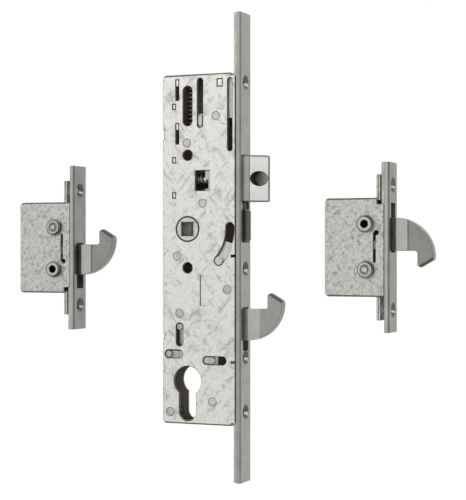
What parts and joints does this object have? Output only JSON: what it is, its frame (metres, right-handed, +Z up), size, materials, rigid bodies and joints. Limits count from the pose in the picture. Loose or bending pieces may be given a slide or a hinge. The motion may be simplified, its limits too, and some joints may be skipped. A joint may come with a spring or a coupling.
{
  "type": "multipoint door lock",
  "caption": "Multipoint door lock: a gearbox case with latch, trigger, hook, spindle follower and cylinder hole, and matching hook cases on their own faceplates.",
  "frame": {"origin": "centre of the spindle follower, in the middle of the case's thickness", "axes": "+X out of the door edge through the faceplate, +Z up, +Y through the door away from the cover"},
  "size_m": [0.2685, 0.0201, 0.2815],
  "materials": {
    "zinc_sheet": "zinc plated sheet, mottled",
    "plate_steel": "satin, drawn along its length",
    "hook_steel": "zinc plated, satin",
    "rivet_steel": "zinc plated, turned",
    "slide_steel": "zinc plated, pressed",
    "follower_zinc": "cast, dull",
    "latch_nickel": "nickel plated, satin",
    "dark_screw": "blackened",
    "trigger_plastic": "moulded, matte",
    "spring_steel": "drawn wire"
  },
  "bodies": {
    "case": {"main_faceplate": "plate_steel", "main_case_tray": "zinc_sheet", "main_case_cover": "zinc_sheet", "case_rivets": "rivet_steel", "guide_tabs": "zinc_sheet", "main_hook_axle": "rivet_steel", "latch_spring": "spring_steel", "handle_spring": "spring_steel", "trigger_spring": "spring_steel", "upper_faceplate": "plate_steel", "upper_case_tray": "zinc_sheet", "upper_case_cover": "zinc_sheet", "upper_axle": "rivet_steel", "upper_bush": "rivet_steel", "lower_faceplate": "plate_steel", "lower_case_tray": "zinc_sheet", "lower_case_cover": "zinc_sheet", "lower_axle": "rivet_steel", "lower_bush": "rivet_steel"},
    "follower": {"follower": "follower_zinc"},
    "upper_drive": {"upper_drive": "slide_steel"},
    "lower_drive": {"lower_drive": "slide_steel"},
    "deadlock": {"deadlock_slide": "slide_steel"},
    "latch": {"latch_bolt": "latch_nickel", "latch_screw": "dark_screw"},
    "trigger": {"trigger": "trigger_plastic"},
    "main_hook": {"main_hook": "hook_steel"},
    "upper_slide": {"upper_slide": "slide_steel"},
    "upper_hook": {"upper_hook": "hook_steel"},
    "lower_slide": {"lower_slide": "slide_steel"},
    "lower_hook": {"lower_hook": "hook_steel"}
  },
  "joints": [
    {"name": "upper_drive_slide", "type": "slide", "parent": "case", "child": "upper_drive", "axis": [0, 0, 1], "range_m": [0, 0.0095], "stiffness_N_per_m": 300, "springref_m": -0.027, "deforming": ["handle_spring"]},
    {"name": "spindle_turn", "type": "hinge", "parent": "case", "child": "follower", "pos_m": [0, 0, 0], "axis": [0, -1, 0], "range_deg": [0, 45]},
    {"name": "lower_drive_slide", "type": "slide", "parent": "case", "child": "lower_drive", "axis": [0, 0, -1], "range_m": [0, 0.0095]},
    {"name": "main_hook_swing", "type": "hinge", "parent": "case", "child": "main_hook", "pos_m": [0.026, 0, -0.0364], "axis": [0, 1, 0], "range_deg": [0, 69]},
    {"name": "upper_slide_slide", "type": "slide", "parent": "case", "child": "upper_slide", "axis": [0, 0, 1], "range_m": [0, 0.0095]},
    {"name": "upper_hook_swing", "type": "hinge", "parent": "case", "child": "upper_hook", "pos_m": [-0.09, 0, 0.0028], "axis": [0, 1, 0], "range_deg": [0, 69]},
    {"name": "lower_slide_slide", "type": "slide", "parent": "case", "child": "lower_slide", "axis": [0, 0, -1], "range_m": [0, 0.0095]},
    {"name": "lower_hook_swing", "type": "hinge", "parent": "case", "child": "lower_hook", "pos_m": [0.115, 0, -0.0252], "axis": [0, -1, 0], "range_deg": [0, 69]},
    {"name": "latch_slide", "type": "slide", "parent": "case", "child": "latch", "axis": [-1, 0, 0], "range_m": [0, 0.01275], "stiffness_N_per_m": 300, "springref_m": -0.012, "deforming": ["latch_spring"]},
    {"name": "trigger_press", "type": "slide", "parent": "case", "child": "trigger", "axis": [-1, 0, 0], "range_m": [0, 0.002], "stiffness_N_per_m": 300, "springref_m": -0.006, "deforming": ["trigger_spring"]},
    {"name": "deadlock_throw", "type": "slide", "parent": "case", "child": "deadlock", "axis": [1, 0, 0], "range_m": [0, 0.007]}
  ],
  "couplings": [
    {"joint": "spindle_turn", "follows": "upper_drive_slide", "rad_per_m": 82.673},
    {"joint": "lower_drive_slide", "follows": "upper_drive_slide", "ratio": 1},
    {"joint": "main_hook_swing", "follows": "upper_drive_slide", "rad_per_m": 126.77},
    {"joint": "upper_slide_slide", "follows": "upper_drive_slide", "ratio": 1},
    {"joint": "upper_hook_swing", "follows": "upper_drive_slide", "rad_per_m": 126.77},
    {"joint": "lower_slide_slide", "follows": "upper_drive_slide", "ratio": 1},
    {"joint": "lower_hook_swing", "follows": "upper_drive_slide", "rad_per_m": 126.77}
  ]
}
